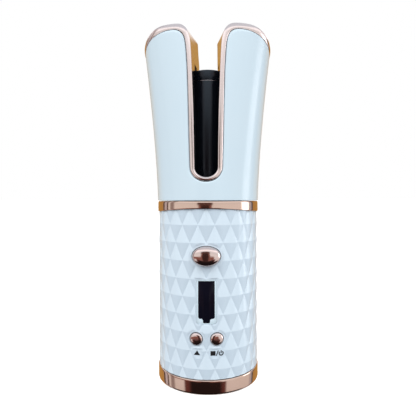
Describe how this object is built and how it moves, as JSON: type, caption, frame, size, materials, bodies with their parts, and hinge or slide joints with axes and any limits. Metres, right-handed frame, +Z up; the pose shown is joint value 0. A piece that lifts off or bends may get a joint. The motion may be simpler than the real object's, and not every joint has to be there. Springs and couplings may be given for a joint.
{
  "type": "automatic hair curler",
  "caption": "Upright cordless hair curler: round faceted handle, flared two-wing head with an open U slot, heated barrel that turns in its chamber, rocker and push buttons.",
  "frame": {"origin": "centre of the base's underside, on the foot pad", "axes": "+Z up along the handle, -Y the side with the buttons, +X to the right of someone facing the buttons"},
  "size_m": [0.0718, 0.06, 0.1931],
  "materials": {
    "shell_white": "moulded gloss white with a cool cast",
    "trim_rose_gold": "rose-gold plated plastic, polished",
    "barrel_black": "smooth black ceramic-look coating",
    "liner_black": "dark heat-resistant moulding",
    "display_black": "polished smoked window",
    "nylon": "natural moulded nylon",
    "steel": "bright steel",
    "aluminium": "as cast",
    "brass": "turned brass",
    "circuit_board": "solder mask",
    "cell_wrap": "shrink sleeve",
    "ceramic": "fired ceramic",
    "rubber": "soft moulded rubber",
    "wire_red": "silicone sleeving",
    "wire_black": "silicone sleeving"
  },
  "bodies": {
    "body": {"foot_pad": "rubber", "base_cap": "shell_white", "base_ring": "trim_rose_gold", "base_screw_1": "steel", "base_screw_2": "steel", "base_screw_3": "steel", "handle_front_shell": "shell_white", "handle_rear_shell": "shell_white", "collar_ring": "trim_rose_gold", "head_front_shell": "shell_white", "head_rear_shell": "shell_white", "slot_trim": "trim_rose_gold", "chamber_liner": "liner_black", "fixed_stem": "steel", "heater_half_left": "aluminium", "heater_half_right": "aluminium", "ptc_plate_front": "ceramic", "ptc_plate_rear": "ceramic", "top_bush": "nylon", "temperature_sensor": "ceramic", "lower_chassis": "steel", "upper_chassis": "steel", "standoff_1": "brass", "standoff_2": "brass", "standoff_3": "brass", "hub_bush": "brass", "motor": "steel", "gearbox": "brass", "battery_cell_left": "cell_wrap", "battery_cell_right": "cell_wrap", "battery_cage": "nylon", "main_pcb": "circuit_board", "lcd_module": "steel", "display_lens": "display_black", "charge_pcb": "circuit_board", "usb_port": "steel", "switch_left": "liner_black", "switch_right": "liner_black", "direction_switch_left": "liner_black", "direction_switch_right": "liner_black", "rocker_frame": "steel", "rocker_pin": "steel", "heater_lead_live": "wire_red", "heater_lead_return": "wire_black", "battery_lead": "wire_red", "motor_lead": "wire_black"},
    "rotor": {"rotor_hub": "nylon", "drive_gear": "nylon", "winder_disc": "barrel_black", "hair_hook": "barrel_black", "barrel_tube": "barrel_black", "barrel_cap": "barrel_black"},
    "motor_output": {"output_shaft": "steel", "pinion": "brass"},
    "left_button": {"temperature_button": "trim_rose_gold"},
    "right_button": {"power_button": "trim_rose_gold"},
    "rocker": {"direction_rocker": "trim_rose_gold"}
  },
  "joints": [
    {"name": "barrel_spin", "type": "hinge", "parent": "body", "child": "rotor", "pos_m": [0, 0, 0.1], "axis": [0, 0, 1], "continuous": true},
    {"name": "pinion_spin", "type": "hinge", "parent": "body", "child": "motor_output", "pos_m": [0, 0.01635, 0.09], "axis": [0, 0, 1], "continuous": true},
    {"name": "direction_tilt", "type": "hinge", "parent": "body", "child": "rocker", "pos_m": [0, -0.0234, 0.0712], "axis": [0, 0, 1], "range_deg": [-4, 4], "stiffness_Nm_per_rad": 0.02},
    {"name": "temperature_press", "type": "slide", "parent": "body", "child": "left_button", "axis": [0, 1, 0], "range_m": [0, 0.0008], "stiffness_N_per_m": 800},
    {"name": "power_press", "type": "slide", "parent": "body", "child": "right_button", "axis": [0, 1, 0], "range_m": [0, 0.0008], "stiffness_N_per_m": 800}
  ],
  "couplings": [
    {"joint": "pinion_spin", "follows": "barrel_spin", "ratio": -2.8571}
  ]
}
